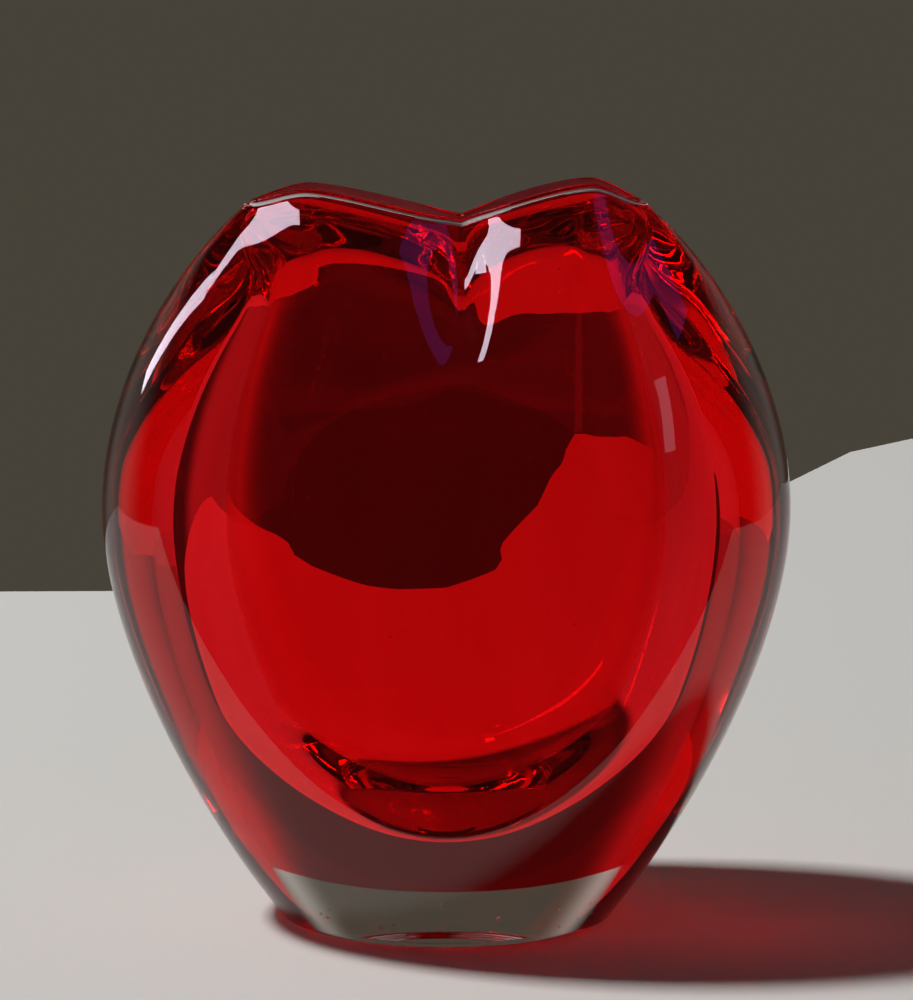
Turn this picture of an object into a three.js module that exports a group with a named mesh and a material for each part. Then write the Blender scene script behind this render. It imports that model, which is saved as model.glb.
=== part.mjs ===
// Hand blown vase with a pinched, heart shaped mouth. Two gathers of glass:
// a ruby bubble inside, and a clear casing over it that also makes the foot.
// Millimetres, +Z up. It stands on z = 0 with its front towards -Y.
import * as THREE from "three";

// Outer skin: half sizes across (X) and deep (Y) at the foot, belly and mouth.
const FOOT = { across: 31.5, deep: 25.5, height: 0 };
const BELLY = { across: 68, deep: 42, height: 82 };
const MOUTH = { across: 40, deep: 8, height: 142.5 };

// Heel: the small rounded edge by which the skin stands out from the foot.
const HEEL_SPREAD = 2.5;
const HEEL_HEIGHT = 1.6;
const HEEL = {
  across: FOOT.across + HEEL_SPREAD,
  deep: FOOT.deep + HEEL_SPREAD,
  height: HEEL_HEIGHT,
};

// Lean of the skin from the vertical, in degrees, where it leaves the heel and
// where it arrives at the mouth, and how far each lean is felt along the skin.
const HEEL_LEAN = { across: 38, deep: 21 };
const MOUTH_LEAN = { across: 48, deep: 52 };
const HEEL_PULL = 28;
const BELLY_PULL = 24;
const MOUTH_PULL = 20;

// Pontil mark: a shallow dish ground and polished in the middle of the foot.
const PONTIL_RADIUS = 9;
const PONTIL_DEPTH = 0.8;

// Clear casing: its thickness at the belly and at the mouth, and its foot.
const CASING_BELLY = { across: 7, deep: 4.5 };
const CASING_MOUTH = 1.3;
const FOOT_THICKNESS = 10.5;
const RUBY_CORNER = { height: 20, fullness: 2.6 };

// Ruby layer: its thickness at the belly and at the mouth, and its floor.
const RUBY_BELLY = { across: 14, deep: 5 };
const RUBY_MOUTH = 1.9;
const RUBY_FLOOR = 10;
const HOLLOW_CORNER = { height: 30, fullness: 2.2 };
const RUBY_LIP_RISE = 0.6;

// How far below the mouth both layers begin to thin towards the lip.
const THINNING = 22.5;

// The two gathers are fused. This is the gap kept between their solids.
const FUSE_GAP = 0.3;

// Heart shaped mouth: two lobes with a dip between them, and a crease that
// runs down from the dip on the front and on the back. Each fade begins and
// ends this far below the mouth.
const DIP_PLACE = 3;
const LEFT_LOBE = { place: -27, rise: 2.8, run: 0.6 };
const RIGHT_LOBE = { place: 28, rise: 4, run: 0.1 };
const DIP_DEPTH = 3.2;
const LOBE_FADE = { begins: 44.5, ends: 1.5 };
const DIP_SHARPNESS = 1.5;
const CREASE_WIDTH = 6.5;
const CREASE_PINCH = 0.5;
const CREASE_FADE = { begins: 34.5, ends: -3.5 };

// Fineness of the solids.
const SIDES = 56;
const SKIN_STEPS = 10;
const LIP_STEPS = 4;

function smooth(value, from, to) {
  return THREE.MathUtils.smoothstep(value, from, to);
}

function faded(height, fade) {
  return smooth(height, MOUTH.height - fade.begins, MOUTH.height - fade.ends);
}

// The skin's outline in one direction: heel to belly, then belly to mouth.
function outline(way) {
  const heelLean = THREE.MathUtils.degToRad(HEEL_LEAN[way]);
  const mouthLean = THREE.MathUtils.degToRad(MOUTH_LEAN[way]);
  const heel = new THREE.Vector2(HEEL[way], HEEL.height);
  const belly = new THREE.Vector2(BELLY[way], BELLY.height);
  const mouth = new THREE.Vector2(MOUTH[way], MOUTH.height);
  const outOfHeel = new THREE.Vector2(Math.sin(heelLean), Math.cos(heelLean));
  const outOfMouth = new THREE.Vector2(Math.sin(mouthLean), -Math.cos(mouthLean));
  const lower = new THREE.CubicBezierCurve(
    heel,
    heel.clone().addScaledVector(outOfHeel, HEEL_PULL),
    new THREE.Vector2(BELLY[way], BELLY.height - BELLY_PULL),
    belly,
  );
  const upper = new THREE.CubicBezierCurve(
    belly,
    new THREE.Vector2(BELLY[way], BELLY.height + BELLY_PULL),
    mouth.clone().addScaledVector(outOfMouth, MOUTH_PULL),
    mouth,
  );
  return { lower, upper };
}

const OUTLINES = { across: outline("across"), deep: outline("deep") };

// Half size of the skin at a height, found by halving the curve's own range.
function skin(way, height) {
  const curve = height < BELLY.height ? OUTLINES[way].lower : OUTLINES[way].upper;
  let low = 0;
  let high = 1;
  for (let i = 0; i < 40; i++) {
    const middle = (low + high) / 2;
    if (curve.getPoint(middle).y < height) low = middle;
    else high = middle;
  }
  return curve.getPoint(low).x;
}

// How much of a rounded floor's width is reached at a height above its lowest
// point: 0 there, and 1 from the corner's height up.
function flooring(height, floor, corner) {
  const below = Math.max(0, (floor + corner.height - height) / corner.height);
  return (1 - below ** corner.fullness) ** (1 / corner.fullness);
}

// Thickness that is even round the body and thins towards the mouth.
function thickness(height, body, mouth) {
  return THREE.MathUtils.lerp(body, mouth, smooth(height, MOUTH.height - THINNING, MOUTH.height));
}

// Half size of the surface where the casing meets the ruby.
function fuse(way, height) {
  const casing = thickness(height, CASING_BELLY[way], CASING_MOUTH);
  return (skin(way, height) - casing) * flooring(height, FOOT_THICKNESS, RUBY_CORNER);
}

// The same ring on the ruby's side of the gap: up off the floor, in off the wall.
function acrossGap(ring) {
  const wall = smooth(ring.height, FOOT_THICKNESS, FOOT_THICKNESS + RUBY_CORNER.height);
  return {
    across: Math.max(0, ring.across - FUSE_GAP),
    deep: Math.max(0, ring.deep - FUSE_GAP),
    height: ring.height + FUSE_GAP * (1 - wall),
  };
}

// Half size of the hollow at a height.
function hollow(way, height) {
  const body = CASING_BELLY[way] + RUBY_BELLY[way];
  const wall = thickness(height, body, CASING_MOUTH + RUBY_MOUTH) + FUSE_GAP;
  const floor = FOOT_THICKNESS + FUSE_GAP + RUBY_FLOOR;
  return (skin(way, height) - wall) * flooring(height, floor, HOLLOW_CORNER);
}

// Rings up one surface, from its floor to the mouth: half sizes and a height. They
// are closer together at both ends, where the surface turns quickest, and one of
// them is at the belly.
function rings(surface, floor) {
  const quarter = Math.PI / 2 / SKIN_STEPS;
  return Array.from({ length: SKIN_STEPS * 2 + 1 }, (_, i) => {
    const height = i < SKIN_STEPS
      ? THREE.MathUtils.lerp(floor, BELLY.height, 1 - Math.cos(quarter * i))
      : THREE.MathUtils.lerp(BELLY.height, MOUTH.height, -Math.cos(quarter * i));
    return { across: surface("across", height), deep: surface("deep", height), height };
  });
}

// Rings round a fire polished lip, from its outer side over to its inner side.
function lip(outer, inner) {
  const radius = (outer.across - inner.across) / 2;
  return Array.from({ length: LIP_STEPS - 1 }, (_, i) => {
    const angle = (Math.PI * (i + 1)) / LIP_STEPS;
    const inward = radius * (1 - Math.cos(angle));
    return {
      across: outer.across - inward,
      deep: outer.deep - inward,
      height: outer.height + radius * Math.sin(angle),
    };
  });
}

// Change of height that makes the two lobes and the dip between them.
function lobes(x, height) {
  const lobe = x < DIP_PLACE ? LEFT_LOBE : RIGHT_LOBE;
  const toDip = (x - DIP_PLACE) / (lobe.place - DIP_PLACE);
  const depth = lobe.rise + DIP_DEPTH;
  const beyond = Math.abs(x - lobe.place) / (MOUTH.across - Math.abs(lobe.place));
  const drop = toDip < 1
    ? depth * (1 - toDip) ** DIP_SHARPNESS * (1 + lobe.run * toDip)
    : lobe.rise * smooth(beyond, 0, 1);
  return (lobe.rise - drop) * faded(height, LOBE_FADE);
}

// Share by which the crease draws a point in towards the middle of the vase.
function crease(x, height) {
  const away = (x - DIP_PLACE) / CREASE_WIDTH;
  const pinch = CREASE_PINCH / (1 + away ** 2);
  return pinch * faded(height, CREASE_FADE);
}

// One gather: its profile turned once round, then made oval and shaped.
function gather(profile) {
  const outlinePoints = profile.map((ring) => new THREE.Vector2(ring.across, ring.height));
  const geometry = new THREE.LatheGeometry(outlinePoints, SIDES);
  geometry.rotateX(Math.PI / 2);
  const position = geometry.attributes.position;
  for (let i = 0; i < position.count; i++) {
    const ring = profile[i % profile.length];
    const oval = ring.across > 0 ? ring.deep / ring.across : 1;
    const x = position.getX(i);
    const y = position.getY(i) * oval * (1 - crease(x, ring.height));
    position.setXYZ(i, x, y, ring.height + lobes(x, ring.height));
  }
  geometry.computeVertexNormals();
  return geometry;
}

// Splits each four sided facet along its other diagonal. The casing's inner wall
// and the ruby's outer wall then fold alike, and keep their gap where they bend.
function splitOtherWay(geometry) {
  const index = geometry.index.array;
  for (let i = 0; i < index.length; i += 6) {
    const [a, b, d, c] = index.slice(i, i + 4);
    index.set([a, b, c, a, c, d], i);
  }
  return geometry;
}

function clearCasing() {
  const outside = rings(skin, HEEL.height);
  const inside = rings(fuse, FOOT_THICKNESS);
  const base = [
    { across: 0, deep: 0, height: PONTIL_DEPTH },
    { across: PONTIL_RADIUS / 2, deep: PONTIL_RADIUS / 2, height: PONTIL_DEPTH * 0.75 },
    { across: PONTIL_RADIUS, deep: PONTIL_RADIUS, height: FOOT.height },
    FOOT,
    {
      across: THREE.MathUtils.lerp(FOOT.across, HEEL.across, 0.7),
      deep: THREE.MathUtils.lerp(FOOT.deep, HEEL.deep, 0.7),
      height: HEEL.height * 0.3,
    },
  ];
  const edge = lip(outside.at(-1), inside.at(-1));
  return gather([...base, ...outside, ...edge, ...inside.reverse()]);
}

function rubyLayer() {
  const floor = FOOT_THICKNESS + FUSE_GAP + RUBY_FLOOR;
  const outside = rings(fuse, FOOT_THICKNESS).map(acrossGap);
  const inside = rings(hollow, floor);
  const raised = (ring) => ({ ...ring, height: ring.height + RUBY_LIP_RISE });
  const edge = lip(raised(outside.at(-1)), raised(inside.at(-1)));
  return splitOtherWay(gather([...outside, ...edge, ...inside.reverse()]));
}

function glass(name, geometry, color, roughness) {
  const material = new THREE.MeshStandardMaterial({ color, roughness, metalness: 0 });
  const mesh = new THREE.Mesh(geometry, material);
  mesh.name = name;
  return mesh;
}

const vase = new THREE.Group();
vase.add(glass("clear_casing", clearCasing(), 0xdfe4de, 0.04));
vase.add(glass("ruby_layer", rubyLayer(), 0xa80408, 0.05));

export default vase;
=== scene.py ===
import math

import bpy
from mathutils import Matrix, Vector


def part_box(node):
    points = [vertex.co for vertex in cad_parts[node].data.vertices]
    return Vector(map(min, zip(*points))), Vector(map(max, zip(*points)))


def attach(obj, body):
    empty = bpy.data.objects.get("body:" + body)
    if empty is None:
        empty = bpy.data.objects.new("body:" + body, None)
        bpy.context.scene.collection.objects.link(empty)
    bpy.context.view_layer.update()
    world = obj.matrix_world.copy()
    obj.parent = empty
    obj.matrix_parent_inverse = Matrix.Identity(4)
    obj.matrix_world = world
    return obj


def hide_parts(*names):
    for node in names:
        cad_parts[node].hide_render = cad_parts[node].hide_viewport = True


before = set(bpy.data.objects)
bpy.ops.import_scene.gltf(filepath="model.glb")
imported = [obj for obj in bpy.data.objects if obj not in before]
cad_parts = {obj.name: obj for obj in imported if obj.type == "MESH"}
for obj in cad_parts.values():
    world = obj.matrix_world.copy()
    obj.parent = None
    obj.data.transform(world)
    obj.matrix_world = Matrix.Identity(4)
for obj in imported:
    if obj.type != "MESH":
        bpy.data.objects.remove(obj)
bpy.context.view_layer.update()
MM = 0.001

# ---------------------------------------------------------------- sizes
# Overall sizes are the frame's own. The rest are the values the solids use.
casing_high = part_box("clear_casing")[1]
ruby_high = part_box("ruby_layer")[1]

# Half sizes across (X) and deep (Y) of the outer skin at three heights.
FOOT = {"across": 31.5 * MM, "deep": 25.5 * MM, "height": 0.0}
BELLY = {"across": casing_high.x, "deep": casing_high.y, "height": 82 * MM}
MOUTH = {"across": 40 * MM, "deep": 8 * MM, "height": 142.5 * MM}

# The small rounded heel: how far it stands out, and how its curve runs out from
# the foot and turns up, as shares. Then how the skin leans, in degrees from the
# vertical, where it leaves the heel and where it arrives at the mouth.
HEEL_SPREAD = 2.5 * MM
HEEL = {
    "across": FOOT["across"] + HEEL_SPREAD,
    "deep": FOOT["deep"] + HEEL_SPREAD,
    "height": 1.6 * MM,
}
HEEL_ROUND = {"reach": 0.7, "back": 0.5, "rise": 0.55}
HEEL_LEAN = {"across": 38, "deep": 21}
MOUTH_LEAN = {"across": 48, "deep": 52}
HEEL_PULL = 28 * MM
BELLY_PULL = 24 * MM
MOUTH_PULL = 20 * MM

# The pontil mark is a shallow polished dish in the middle of the foot.
PONTIL_RADIUS = 9 * MM
PONTIL_DEPTH = 0.8 * MM

# Thickness of each gather, and how each floor rounds up into its wall.
CASING_BELLY = {"across": 7 * MM, "deep": 4.5 * MM}
CASING_MOUTH = 1.3 * MM
FOOT_THICKNESS = 10.5 * MM
RUBY_CORNER = {"height": 20 * MM, "fullness": 2.6}
RUBY_BELLY = {"across": 14 * MM, "deep": 5 * MM}
RUBY_MOUTH = 1.9 * MM
RUBY_FLOOR = 10 * MM
HOLLOW_CORNER = {"height": 30 * MM, "fullness": 2.2}
THINNING = 22.5 * MM
RUBY_LIP_RISE = 0.6 * MM
FUSE_GAP = 0.3 * MM

# The mouth's two lobes, the dip between them and the crease below it. The right
# lobe is the highest point, so it comes from the frame, less a little play.
LOBE_CREST = ruby_high.z - MOUTH["height"] - RUBY_LIP_RISE - RUBY_MOUTH / 2
LOBE_PLAY = 0.05 * MM
SHAPE = {
    "Dip Place": 3 * MM,
    "Dip Depth": 3.2 * MM,
    "Dip Sharpness": 1.5,
    "Left Lobe Place": -27 * MM,
    "Left Lobe Rise": 2.8 * MM,
    "Left Lobe Run": 0.6,
    "Right Lobe Place": 28 * MM,
    "Right Lobe Rise": LOBE_CREST - LOBE_PLAY,
    "Right Lobe Run": 0.1,
    "Mouth Half Length": MOUTH["across"],
    "Lobes Start": MOUTH["height"] - 44.5 * MM,
    "Lobes End": MOUTH["height"] - 1.5 * MM,
    "Crease Width": 6.5 * MM,
    "Crease Pinch": 0.5,
    "Crease Start": MOUTH["height"] - 34.5 * MM,
    "Crease End": MOUTH["height"] + 3.5 * MM,
    "Unevenness": 0.006,
    "Unevenness Size": 60 * MM,
    "Ragged Edge": 0.022,
    "Ragged Edge Start": FOOT_THICKNESS + 1 * MM,
    "Ragged Edge End": 19 * MM,
}

# Seed bubbles: how many, the share of them in the foot and their heights there,
# how deep the rest lie in the casing's wall, the least radius and how much is
# added to it, and how many times longer than wide they are.
SEEDS = 130
SEEDS_IN_FOOT = 0.45
SEED_HEIGHTS = (3 * MM, 8 * MM)
SEED_DEPTHS = (1 * MM, 2.4 * MM)
SEED_LEAST = 0.07 * MM
SEED_SPREAD = 0.2 * MM
SEED_LENGTHS = (0.8, 1.7)

# Fineness of the gathers: points round them, and rows of points up each part.
SIDES = 320
SKIN_ROWS = 64
LIP_ROWS = 12
FOOT_ROWS = 8
CLOSE_ENOUGH = 0.002 * MM

# The rows of the casing's wall, counted from its heel, that hold seed bubbles.
SEED_ROWS = (30.0, SKIN_ROWS * 1.7)

# Which surface a row of a profile belongs to, and the values that part a face on
# one surface from a face on the next.
OPEN_SKIN, FUSED_SKIN, HOLLOW_SKIN = 0, 1, 2
BELOW_ALL, OPEN_TO_FUSED, FUSED_TO_HOLLOW, ABOVE_ALL = -1, 0.5, 1.5, 9


# ---------------------------------------------------------------- node graphs
class Wire:
    """A socket of a node tree, with arithmetic that adds its nodes."""

    def __init__(self, graph, socket):
        self.graph, self.socket = graph, socket

    def maths(self, operation, *others):
        values = dict(enumerate((self, *others)))
        return self.graph.add("ShaderNodeMath", {"operation": operation}, values)

    def __add__(self, other):
        return self.maths("ADD", other)

    def __sub__(self, other):
        return self.maths("SUBTRACT", other)

    def __mul__(self, other):
        return self.maths("MULTIPLY", other)

    def __truediv__(self, other):
        return self.maths("DIVIDE", other)

    def __pow__(self, other):
        return self.maths("POWER", other)

    def __radd__(self, other):
        return self.maths("ADD", other)

    def __rmul__(self, other):
        return self.maths("MULTIPLY", other)

    def __rsub__(self, other):
        return self.graph.add("ShaderNodeMath", {"operation": "SUBTRACT"}, {0: other, 1: self})

    def __rtruediv__(self, other):
        return self.graph.add("ShaderNodeMath", {"operation": "DIVIDE"}, {0: other, 1: self})

    def smooth(self, low, high):
        """0 below low, 1 above high, and an even S between them."""
        return self.graph.add(
            "ShaderNodeMapRange",
            {"interpolation_type": "SMOOTHSTEP"},
            {"Value": self, "From Min": low, "From Max": high},
        )


class Graph:
    """A node tree and the one way that this script adds nodes to it."""

    def __init__(self, tree):
        self.tree = tree

    def add(self, kind, settings=None, values=None, out=0):
        node = self.tree.nodes.new(kind)
        for name, setting in (settings or {}).items():
            setattr(node, name, setting)
        for key, value in (values or {}).items():
            if isinstance(value, Wire):
                self.tree.links.new(value.socket, node.inputs[key])
            else:
                node.inputs[key].default_value = value
        return Wire(self, node.outputs[out]) if len(node.outputs) else node


# ---------------------------------------------------------------- profiles
def smoothstep(value, low, high):
    t = min(1.0, max(0.0, (value - low) / (high - low)))
    return t * t * (3 - 2 * t)


def bezier(points, t):
    weights = ((1 - t) ** 3, 3 * t * (1 - t) ** 2, 3 * t * t * (1 - t), t ** 3)
    return tuple(sum(w * p[i] for w, p in zip(weights, points)) for i in (0, 1))


def skin(way, height):
    """Half size of the outer skin at a height."""
    if height < BELLY["height"]:
        lean = math.radians(HEEL_LEAN[way])
        start = (HEEL[way], HEEL["height"])
        points = (
            start,
            (start[0] + HEEL_PULL * math.sin(lean), start[1] + HEEL_PULL * math.cos(lean)),
            (BELLY[way], BELLY["height"] - BELLY_PULL),
            (BELLY[way], BELLY["height"]),
        )
    else:
        lean = math.radians(MOUTH_LEAN[way])
        end = (MOUTH[way], MOUTH["height"])
        points = (
            (BELLY[way], BELLY["height"]),
            (BELLY[way], BELLY["height"] + BELLY_PULL),
            (end[0] + MOUTH_PULL * math.sin(lean), end[1] - MOUTH_PULL * math.cos(lean)),
            end,
        )
    low, high = 0.0, 1.0
    for _ in range(40):
        middle = (low + high) / 2
        if bezier(points, middle)[1] < height:
            low = middle
        else:
            high = middle
    return bezier(points, low)[0]


def flooring(height, floor, corner):
    """Share of its full width that a rounded floor has reached at a height."""
    below = max(0.0, (floor + corner["height"] - height) / corner["height"])
    return (1 - min(1.0, below) ** corner["fullness"]) ** (1 / corner["fullness"])


def thickness(height, body, mouth):
    """Thickness that is even round the body and thins towards the mouth."""
    thinned = smoothstep(height, MOUTH["height"] - THINNING, MOUTH["height"])
    return body + (mouth - body) * thinned


def fuse(way, height):
    """Half size of the surface where the casing meets the ruby."""
    casing = thickness(height, CASING_BELLY[way], CASING_MOUTH)
    return (skin(way, height) - casing) * flooring(height, FOOT_THICKNESS, RUBY_CORNER)


def hollow(way, height):
    """Half size of the hollow at a height."""
    body = CASING_BELLY[way] + RUBY_BELLY[way]
    wall = thickness(height, body, CASING_MOUTH + RUBY_MOUTH) + FUSE_GAP
    floor = FOOT_THICKNESS + FUSE_GAP + RUBY_FLOOR
    return (skin(way, height) - wall) * flooring(height, floor, HOLLOW_CORNER)


def ring(across, deep, height, surface):
    return {"across": across, "deep": deep, "height": height, "surface": surface}


def rings(half_size, floor, surface):
    """Rows up one surface, closest together at its floor and at the mouth."""
    rows = []
    for i in range(SKIN_ROWS * 2 + 1):
        swing = math.cos(math.pi / 2 * i / SKIN_ROWS)
        low = floor if i < SKIN_ROWS else BELLY["height"]
        high = BELLY["height"] if i < SKIN_ROWS else MOUTH["height"]
        share = 1 - swing if i < SKIN_ROWS else -swing
        height = low + (high - low) * share
        sizes = (half_size("across", height), half_size("deep", height))
        rows.append(ring(*sizes, height, surface))
    return rows


def lip(outer, inner):
    """Rows round a fire polished lip, from its outer side to its inner side."""
    rows = []
    radius = (outer["across"] - inner["across"]) / 2
    for i in range(1, LIP_ROWS):
        angle = math.pi * i / LIP_ROWS
        inward = radius * (1 - math.cos(angle))
        surface = outer["surface"] if angle < math.pi / 2 else inner["surface"]
        sizes = (outer["across"] - inward, outer["deep"] - inward)
        rows.append(ring(*sizes, outer["height"] + radius * math.sin(angle), surface))
    return rows


def ground_foot():
    """Rows across the ground foot: the polished pontil dish, the flat, the heel."""
    rows = []
    shares = [i / FOOT_ROWS for i in range(1, FOOT_ROWS + 1)]
    for share in [0, *shares]:
        across = PONTIL_RADIUS * share
        dish = PONTIL_DEPTH * math.sqrt(1 - share ** 2)
        rows.append(ring(across, across, dish, OPEN_SKIN))
    for share in shares:
        sizes = (PONTIL_RADIUS + (FOOT[w] - PONTIL_RADIUS) * share for w in ("across", "deep"))
        rows.append(ring(*sizes, FOOT["height"], OPEN_SKIN))
    for share in shares[:-1]:
        sizes, height = [], 0
        for way in ("across", "deep"):
            lean = math.radians(HEEL_LEAN[way])
            reach = (HEEL[way] - FOOT[way]) * HEEL_ROUND["reach"]
            back = reach * HEEL_ROUND["back"] * math.sin(lean)
            points = (
                (FOOT[way], 0),
                (FOOT[way] + reach, 0),
                (HEEL[way] - back, HEEL["height"] * HEEL_ROUND["rise"]),
                (HEEL[way], HEEL["height"]),
            )
            half_size, height = bezier(points, share)
            sizes.append(half_size)
        rows.append(ring(*sizes, height, OPEN_SKIN))
    return rows


def casing_profile():
    outside = rings(skin, HEEL["height"], OPEN_SKIN)
    inside = rings(fuse, FOOT_THICKNESS, FUSED_SKIN)
    edge = lip(outside[-1], inside[-1])
    return ground_foot() + outside + edge + inside[::-1]


def ruby_profile():
    def across_gap(row):
        """The same row on the ruby's side of the gap: up off the floor, in off the wall."""
        wall = smoothstep(row["height"], FOOT_THICKNESS, FOOT_THICKNESS + RUBY_CORNER["height"])
        return ring(
            max(0.0, row["across"] - FUSE_GAP),
            max(0.0, row["deep"] - FUSE_GAP),
            row["height"] + FUSE_GAP * (1 - wall),
            row["surface"],
        )

    outside = [across_gap(row) for row in rings(fuse, FOOT_THICKNESS, FUSED_SKIN)]
    inside = rings(hollow, FOOT_THICKNESS + FUSE_GAP + RUBY_FLOOR, HOLLOW_SKIN)
    raised = [dict(row[-1], height=row[-1]["height"] + RUBY_LIP_RISE) for row in (outside, inside)]
    raised[0]["surface"] = raised[1]["surface"] = HOLLOW_SKIN
    return outside + lip(*raised) + inside[::-1]


# ---------------------------------------------------------------- blown shape
# How far apart in the noise the surfaces lie, and how fine the ragged edge is.
APART = 7.3
TEETH_A_METRE = 420.0


def lobes(size, x, height):
    """Change of height that makes the two lobes and the dip between them."""
    left = x.maths("LESS_THAN", size["Dip Place"])

    def of_side(word):
        right = size["Right Lobe " + word]
        return right + left * (size["Left Lobe " + word] - right)

    place, rise, run = of_side("Place"), of_side("Rise"), of_side("Run")
    to_dip = (x - size["Dip Place"]) / (place - size["Dip Place"])
    inner = (1 - to_dip).maths("MAXIMUM", 0) ** size["Dip Sharpness"]
    near = (rise + size["Dip Depth"]) * inner * (1 + run * to_dip)
    room = size["Mouth Half Length"] - place.maths("ABSOLUTE")
    beyond = ((x - place).maths("ABSOLUTE") / room).smooth(0, 1)
    far = rise * beyond * to_dip.maths("GREATER_THAN", 1)
    return (rise - near - far) * height.smooth(size["Lobes Start"], size["Lobes End"])


def crease(size, x, height):
    """Share by which the crease draws the wall towards the middle."""
    away = (x - size["Dip Place"]) / size["Crease Width"]
    pinch = size["Crease Pinch"] / (1 + away * away)
    return pinch * height.smooth(size["Crease Start"], size["Crease End"])


def place_on_vase(g, size, across, deep, height, turn, surface):
    """Position in the vase of a point of a profile, turned and then shaped."""
    spot = g.add("ShaderNodeCombineXYZ", values={
        0: across * turn.maths("COSINE"), 1: deep * turn.maths("SINE"), 2: height,
    })
    uneven = g.add("ShaderNodeTexNoise", {"noise_dimensions": "4D"}, {
        "Vector": spot, "W": surface * APART, "Scale": 1 / size["Unevenness Size"],
        "Detail": 1.0, "Roughness": 0.4,
    })
    ragged = g.add("ShaderNodeTexNoise", {"noise_dimensions": "3D"}, {
        "Vector": spot, "Scale": TEETH_A_METRE, "Detail": 3.0, "Roughness": 0.6,
    })
    at_edge = 1 - height.smooth(size["Ragged Edge Start"], size["Ragged Edge End"])
    fused = 1 - (surface - FUSED_SKIN).maths("ABSOLUTE").maths("MINIMUM", 1)
    shrink = 1 - size["Unevenness"] * uneven - size["Ragged Edge"] * ragged * at_edge * fused
    x = across * turn.maths("COSINE") * shrink
    y = deep * turn.maths("SINE") * shrink * (1 - crease(size, x, height))
    return g.add("ShaderNodeCombineXYZ", values={
        0: x, 1: y, 2: height + lobes(size, x, height),
    })


def blown_tree(name, materials, seeds):
    """Geometry Nodes that turn a profile once round and shape the mouth."""
    tree = bpy.data.node_groups.new(name, "GeometryNodeTree")
    face = tree.interface
    face.new_socket("Geometry", in_out="OUTPUT", socket_type="NodeSocketGeometry")
    face.new_socket("Geometry", in_out="INPUT", socket_type="NodeSocketGeometry")
    face.new_socket("Sides", in_out="INPUT", socket_type="NodeSocketInt")
    face.new_socket("Seed Bubbles", in_out="INPUT", socket_type="NodeSocketInt")
    for word in SHAPE:
        face.new_socket(word, in_out="INPUT", socket_type="NodeSocketFloat")
    g = Graph(tree)
    entry = tree.nodes.new("NodeGroupInput")
    size = {socket.name: Wire(g, socket) for socket in entry.outputs if socket.name}
    profile, sides = size["Geometry"], size["Sides"]

    rows = g.add("GeometryNodeAttributeDomainSize", values={"Geometry": profile})
    grid = g.add("GeometryNodeMeshGrid", values={
        "Size X": 1.0, "Size Y": 1.0, "Vertices X": sides + 1, "Vertices Y": rows,
    })
    index = g.add("GeometryNodeInputIndex")
    column = (index / rows).maths("FLOOR")
    row = index - column * rows

    def of_row(word, place):
        kept = g.add("GeometryNodeInputNamedAttribute", {"data_type": "FLOAT"}, {"Name": word})
        return g.add(
            "GeometryNodeSampleIndex",
            {"data_type": "FLOAT", "domain": "POINT"},
            {"Geometry": profile, "Value": kept, "Index": place},
        )

    words = ("across", "deep", "height", "surface")
    across, deep, height, surface = (of_row(word, row) for word in words)
    turn = column / sides * math.tau
    spot = place_on_vase(g, size, across, deep, height, turn, surface)
    body = g.add("GeometryNodeStoreNamedAttribute", {"data_type": "FLOAT", "domain": "POINT"}, {
        "Geometry": grid, "Name": "surface", "Value": surface,
    })
    body = g.add("GeometryNodeSetPosition", values={"Geometry": body, "Position": spot})
    body = g.add("GeometryNodeMergeByDistance", values={"Geometry": body, "Distance": CLOSE_ENOUGH})
    if seeds:
        bubbles = seed_bubbles(g, size, of_row)
        join = tree.nodes.new("GeometryNodeJoinGeometry")
        for part in (bubbles, body):
            tree.links.new(part.socket, join.inputs[0])
        body = Wire(g, join.outputs[0])
    body = g.add("GeometryNodeSetShadeSmooth", values={"Geometry": body, "Shade Smooth": True})
    body = g.add("GeometryNodeRealizeInstances", values={"Geometry": body})
    which = g.add("GeometryNodeInputNamedAttribute", {"data_type": "FLOAT"}, {"Name": "surface"})
    for material, low, high in materials:
        chosen = which.maths("GREATER_THAN", low) * which.maths("LESS_THAN", high)
        body = g.add("GeometryNodeSetMaterial", values={
            "Geometry": body, "Selection": chosen, "Material": material,
        })
    leave = tree.nodes.new("NodeGroupOutput")
    tree.links.new(body.socket, leave.inputs[0])
    return tree


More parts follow.
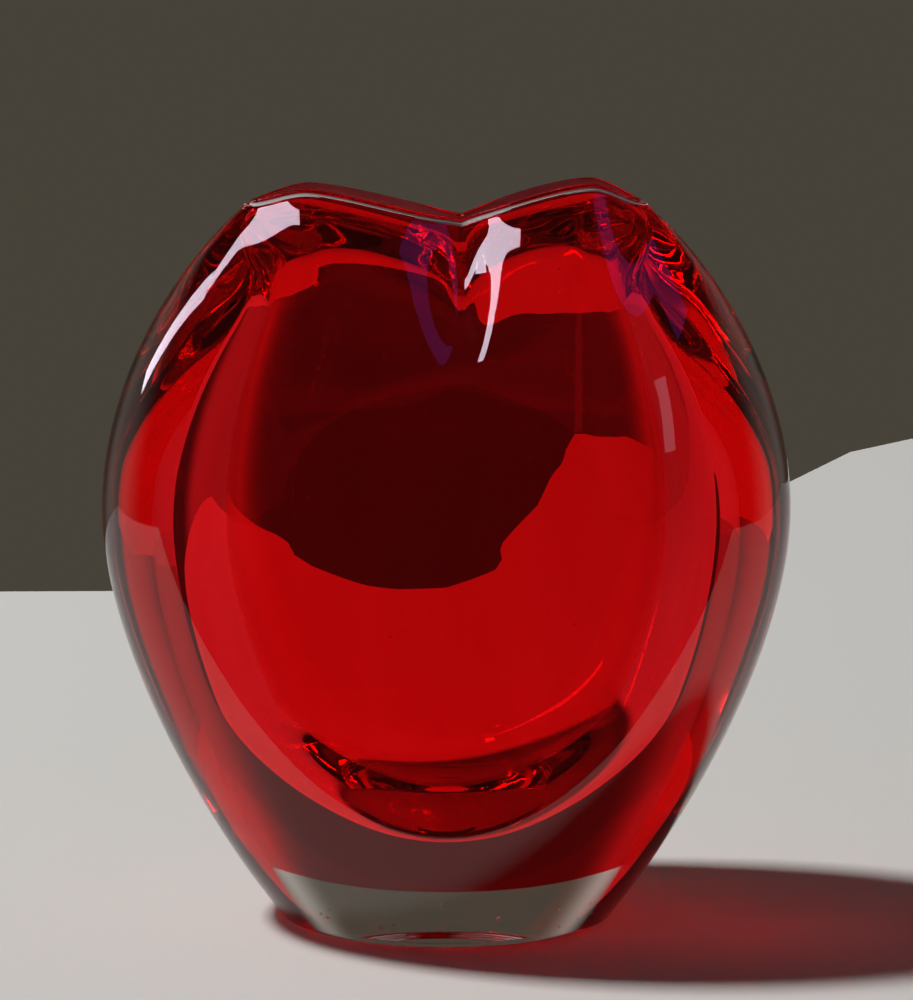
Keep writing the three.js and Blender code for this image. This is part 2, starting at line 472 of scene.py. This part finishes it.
def seed_bubbles(g, size, of_row):
    """Seeds, the pinhead bubbles that stay in hand worked glass, as voids."""
    ident = g.add("GeometryNodeInputIndex")

    def chance(low, high, seed):
        return g.add("FunctionNodeRandomValue", {"data_type": "FLOAT"}, {
            2: low, 3: high, "ID": ident, "Seed": seed,
        }, out=1)

    in_foot = chance(0.0, 1.0, 11).maths("LESS_THAN", SEEDS_IN_FOOT)
    turn = chance(0.0, math.tau, 12)
    reach = chance(0.05, 0.9, 13) ** 0.5
    foot_height = chance(*SEED_HEIGHTS, 14)
    first_row = len(ground_foot())
    lowest, highest = first_row + SEED_ROWS[0], first_row + SEED_ROWS[1]
    wall_row = chance(lowest, highest, 15).maths("FLOOR")
    depth = chance(*SEED_DEPTHS, 16)

    def either(foot, wall):
        return wall + in_foot * (foot - wall)

    across = either(FOOT["across"] * reach, of_row("across", wall_row) - depth)
    deep = either(FOOT["deep"] * reach, of_row("deep", wall_row) - depth)
    height = either(foot_height, of_row("height", wall_row))
    spot = place_on_vase(g, size, across, deep, height, turn, turn * 0)
    points = g.add("GeometryNodePoints", values={
        "Count": size["Seed Bubbles"], "Position": spot,
    })
    ball = g.add("GeometryNodeMeshUVSphere", values={"Segments": 10, "Rings": 6, "Radius": 1.0})
    ball = g.add("GeometryNodeFlipFaces", values={"Mesh": ball})
    growth = chance(0.05, 1.0, 17)
    radius = SEED_LEAST + SEED_SPREAD * growth * growth
    scale = g.add("ShaderNodeCombineXYZ", values={
        0: radius, 1: radius, 2: radius * chance(*SEED_LENGTHS, 18),
    })
    balls = g.add("GeometryNodeInstanceOnPoints", values={
        "Points": points, "Instance": ball, "Scale": scale,
    })
    balls = g.add("GeometryNodeRealizeInstances", values={"Geometry": balls})
    return g.add("GeometryNodeStoreNamedAttribute", {"data_type": "FLOAT", "domain": "POINT"}, {
        "Geometry": balls, "Name": "surface", "Value": float(OPEN_SKIN),
    })


def blow(name, profile, materials, seeds):
    """One gather: the profile's points, turned and shaped by Geometry Nodes."""
    mesh = bpy.data.meshes.new(name + "_profile")
    mesh.from_pydata([(row["across"], 0, row["height"]) for row in profile], [], [])
    for word in ("across", "deep", "height", "surface"):
        kept = mesh.attributes.new(word, "FLOAT", "POINT")
        kept.data.foreach_set("value", [float(row[word]) for row in profile])
    maker = bpy.data.objects.new(name + "_maker", mesh)
    bpy.context.scene.collection.objects.link(maker)
    tree = blown_tree(name + "_shape", materials, seeds)
    modifier = maker.modifiers.new("shape", "NODES")
    modifier.node_group = tree
    inputs = {"Sides": SIDES, "Seed Bubbles": seeds, **SHAPE}
    for item in tree.interface.items_tree:
        if item.in_out == "INPUT" and item.name in inputs:
            modifier[item.identifier] = inputs[item.name]
    evaluated = maker.evaluated_get(bpy.context.evaluated_depsgraph_get())
    made = bpy.data.meshes.new_from_object(evaluated)
    bpy.data.objects.remove(maker)
    made.name = name
    piece = bpy.data.objects.new(name, made)
    bpy.context.scene.collection.objects.link(piece)
    return piece


# ---------------------------------------------------------------- glass
GLASS_BEND = 1.5
FUSED_BEND = 1.0
RIPPLE_HEIGHT = 0.5 * MM

# Colours that light takes on at a surface. The ruby's are a pale and a deep
# streak, first on the hollow's wall and then where the two gathers are fused.
CLEAR_TINT = (0.95, 0.965, 0.95, 1)
NO_TINT = (1, 1, 1, 1)
HOLLOW_RUBY = ((0.97, 0.24, 0.25, 1), (0.94, 0.16, 0.18, 1))
FUSED_RUBY = ((0.97, 0.012, 0.018, 1), (0.93, 0.006, 0.01, 1))


def new_material(name):
    material = bpy.data.materials.new(name)
    material.use_nodes = True
    material.node_tree.nodes.clear()
    return material, Graph(material.node_tree)


def finish_glass(g, colour, bend, roughness=0.0, normal=None):
    """Glass of one colour. Bend is its refractive index."""
    values = {
        "Base Color": colour, "Roughness": roughness, "IOR": bend, "Transmission Weight": 1.0,
    }
    if normal is not None:
        values["Normal"] = normal
    surface = g.add("ShaderNodeBsdfPrincipled", values=values)
    g.add("ShaderNodeOutputMaterial", values={"Surface": surface})


def object_place(g):
    return g.add("ShaderNodeTexCoord", out=3)


def noise(g, place, size, detail=2.0, roughness=0.5, stretch=None):
    """Even noise whose lumps are about the given size across."""
    if stretch is not None:
        place = g.add("ShaderNodeMapping", values={"Vector": place, "Scale": stretch})
    return g.add("ShaderNodeTexNoise", {"noise_dimensions": "3D"}, {
        "Vector": place, "Scale": 1 / size, "Detail": detail, "Roughness": roughness,
    })


def ripples(g, place):
    """The slight waviness that tooling leaves, as a bump for the Normal."""
    swell = noise(g, place, 22 * MM, 1.0, 0.4, (1.0, 1.0, 0.55))
    return g.add("ShaderNodeBump", values={
        "Strength": 0.35, "Distance": RIPPLE_HEIGHT, "Height": swell,
    })


def clear_glass():
    """The casing's open skin, with faint smears left by handling."""
    material, g = new_material("clear_glass")
    place = object_place(g)
    smear = noise(g, place, 30 * MM, 3.0).smooth(0.5, 0.8)
    finish_glass(g, CLEAR_TINT, GLASS_BEND, 0.004 + smear * 0.02, ripples(g, place))
    return material


def clear_fused():
    """The casing's face on the ruby, where light goes straight on."""
    material, g = new_material("clear_fused_face")
    finish_glass(g, NO_TINT, FUSED_BEND)
    return material


def ruby_colour(g, place, pale, deep):
    """Ruby that is a little uneven, in soft streaks drawn out along the height."""
    cords = noise(g, place, 14 * MM, 3.0, 0.55, (1.0, 1.0, 0.3))
    return g.add("ShaderNodeMix", {"data_type": "RGBA"}, {
        "Factor": cords.smooth(0.35, 0.7), 6: pale, 7: deep,
    }, out=2)


def ruby_glass():
    """The ruby's face on the hollow and at the lip."""
    material, g = new_material("ruby_glass")
    place = object_place(g)
    colour = ruby_colour(g, place, *HOLLOW_RUBY)
    finish_glass(g, colour, GLASS_BEND, 0.0, ripples(g, place))
    return material


def ruby_fused():
    """The ruby's face on the casing, which gives it most of its depth of colour."""
    material, g = new_material("ruby_fused_face")
    place = object_place(g)
    finish_glass(g, ruby_colour(g, place, *FUSED_RUBY), FUSED_BEND)
    return material


# ---------------------------------------------------------------- the vase
def make_vase():
    casing = blow(
        "casing_glass",
        casing_profile(),
        ((clear_glass(), BELOW_ALL, OPEN_TO_FUSED), (clear_fused(), OPEN_TO_FUSED, ABOVE_ALL)),
        seeds=SEEDS,
    )
    ruby = blow(
        "ruby_glass_layer",
        ruby_profile(),
        ((ruby_glass(), FUSED_TO_HOLLOW, ABOVE_ALL), (ruby_fused(), BELOW_ALL, FUSED_TO_HOLLOW)),
        seeds=0,
    )
    for piece, node, slot in (
        (casing, "clear_casing", "clear_glass"),
        (ruby, "ruby_layer", "ruby_glass"),
    ):
        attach(piece, "root")
        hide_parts(node)


# ---------------------------------------------------------------- studio
VASE_MIDDLE = Vector((0, 0, 90 * MM))

# The cloth lies a hair below the foot. Its far edge is a row of (x, y) places.
CLOTH_LEVEL = -0.1 * MM
CLOTH_COLOUR = (0.74, 0.735, 0.715, 1)
CLOTH_SIDE = 0.5
CLOTH_FRONT = -0.062
CLOTH_FAR_EDGE = (
    (-CLOTH_SIDE, 0.262), (-0.106, 0.267), (-0.05, 0.268), (0, 0.276), (0.03, 0.292),
    (0.06, 0.33), (0.09, 0.39), (0.105, 0.42), (0.122, 0.436), (0.14, 0.438),
    (0.2, 0.43), (0.3, 0.43), (CLOTH_SIDE, 0.44),
)

# Strips of light: name, low end, high end, distance, width, glow and colour. An
# end is an azimuth, in degrees to the right of the vase's back, and an elevation.
WHITE, COOL, VIOLET = (1.0, 0.99, 0.97), (1.0, 0.82, 0.99), (0.45, 0.14, 1.0)
KEY = ("key", (-79, 56), (-79, 62), 3.0, 0.32, 245, WHITE)
ACCENTS = (
    ("shoulder_low", (-63, 11), (-85, 39), 1.3, 0.11, 12, COOL),
    ("shoulder_high", (-85, 39), (-108, 65), 1.3, 0.07, 12, COOL),
    ("right_lobe", (99, 38), (100, 68), 1.5, 0.26, 0.5, VIOLET),
    ("window", (122, 17), (119, 35), 1.5, 0.1, 1.2, COOL),
)

# The room's colours: in front, straight behind, and low down to both sides of that.
ROOM_FRONT = (0.02, 0.019, 0.022, 1)
ROOM_BEHIND = (0.062, 0.055, 0.041, 1)
ROOM_BESIDE = (0.36, 0.34, 0.3, 1)

# Where those fade into each other: how far up, and how far round to the back,
# from 0 for sideways to 1 for straight behind.
LEVEL_FADE = (0.25, 0.5)
BESIDE_FADE = (0.1, 0.45)
BESIDE_END = (0.7, 0.9)
BEHIND_FADE = (0.5, 0.8)

CAMERA_ELEVATION = math.radians(13)
CAMERA_DISTANCE = 1.3
CAMERA_AIM = Vector((2 * MM, 0, 84 * MM))
SHOWN_HEIGHT = 196.85 * MM
TURNS_OF_A_RAY = 64


def towards(azimuth, elevation, distance):
    """A place seen from the middle of the vase."""
    turn, lift = math.radians(azimuth), math.radians(elevation)
    way = Vector((math.sin(turn), math.cos(turn), 0)) * math.cos(lift)
    way.z = math.sin(lift)
    return VASE_MIDDLE + way * distance


def cloth_material():
    material, g = new_material("cloth")
    surface = g.add("ShaderNodeBsdfPrincipled", values={
        "Base Color": CLOTH_COLOUR, "Roughness": 0.9,
    })
    g.add("ShaderNodeOutputMaterial", values={"Surface": surface})
    return material


def make_floor():
    """A plain pale cloth. Its far edge wanders off to the right behind the vase."""
    edges = (*CLOTH_FAR_EDGE, (CLOTH_SIDE, CLOTH_FRONT), (-CLOTH_SIDE, CLOTH_FRONT))
    corners = [(x, y, CLOTH_LEVEL) for x, y in edges]
    mesh = bpy.data.meshes.new("cloth")
    mesh.from_pydata(corners, [], [tuple(reversed(range(len(corners))))])
    cloth = bpy.data.objects.new("cloth", mesh)
    mesh.materials.append(cloth_material())
    bpy.context.scene.collection.objects.link(cloth)


def soft_light(name, low, high, distance, width, glow, colour):
    """A soft strip of light between two places, facing the vase. Glow is its radiance."""
    low_end, high_end = towards(*low, distance), towards(*high, distance)
    light = bpy.data.lights.new(name, "AREA")
    light.shape = "RECTANGLE"
    length = (high_end - low_end).length
    light.size, light.size_y = width, length
    light.energy = glow * math.pi * width * length
    light.color = colour
    lamp = bpy.data.objects.new(name, light)
    middle = (low_end + high_end) / 2
    facing = (middle - VASE_MIDDLE).normalized()
    along = (high_end - low_end).normalized()
    side = along.cross(facing).normalized()
    along = facing.cross(side)
    lamp.matrix_world = Matrix((side, along, facing)).transposed().to_4x4()
    lamp.location = middle
    bpy.context.scene.collection.objects.link(lamp)
    return lamp


def make_lights():
    """A key light that lights everything, and accents that only the glass mirrors."""
    soft_light(*KEY).visible_glossy = False
    for accent in ACCENTS:
        soft_light(*accent).visible_diffuse = False


def make_room():
    """A plain dark room: taupe behind the vase and paler to both sides of that."""
    world = bpy.data.worlds.new("room")
    bpy.context.scene.world = world
    world.use_nodes = True
    world.node_tree.nodes.clear()
    g = Graph(world.node_tree)
    way = g.add("ShaderNodeTexCoord")
    up = g.add("ShaderNodeSeparateXYZ", values={0: way}, out=2)
    behind = g.add("ShaderNodeSeparateXYZ", values={0: way}, out=1)
    level = 1 - up.maths("ABSOLUTE").smooth(*LEVEL_FADE)
    beside = behind.smooth(*BESIDE_FADE) * (1 - behind.smooth(*BESIDE_END)) * level
    straight = behind.smooth(*BEHIND_FADE)
    room = g.add("ShaderNodeMix", {"data_type": "RGBA"}, {
        "Factor": straight, 6: ROOM_FRONT, 7: ROOM_BEHIND,
    }, out=2)
    colour = g.add("ShaderNodeMix", {"data_type": "RGBA"}, {
        "Factor": beside, 6: room, 7: ROOM_BESIDE,
    }, out=2)
    light = g.add("ShaderNodeBackground", values={"Color": colour, "Strength": 1.0})
    g.add("ShaderNodeOutputWorld", values={"Surface": light})


def make_camera():
    back = Vector((0, -math.cos(CAMERA_ELEVATION), math.sin(CAMERA_ELEVATION)))
    camera = bpy.data.cameras.new("camera")
    camera.lens = camera.sensor_width * CAMERA_DISTANCE / SHOWN_HEIGHT
    eye = bpy.data.objects.new("camera", camera)
    eye.location = CAMERA_AIM + back * CAMERA_DISTANCE
    eye.rotation_euler = (-back).to_track_quat("-Z", "Y").to_euler()
    bpy.context.scene.collection.objects.link(eye)
    bpy.context.scene.camera = eye


def set_light_paths():
    """Glass in glass needs many turns of a ray before it is out again."""
    scene = bpy.context.scene
    scene.view_settings.view_transform = "Standard"
    scene.cycles.max_bounces = TURNS_OF_A_RAY
    scene.cycles.transmission_bounces = TURNS_OF_A_RAY
    scene.cycles.glossy_bounces = TURNS_OF_A_RAY
    scene.cycles.blur_glossy = 0.5
    scene.cycles.use_denoising = True


make_camera()
make_vase()
make_floor()
make_lights()
make_room()
set_light_paths()
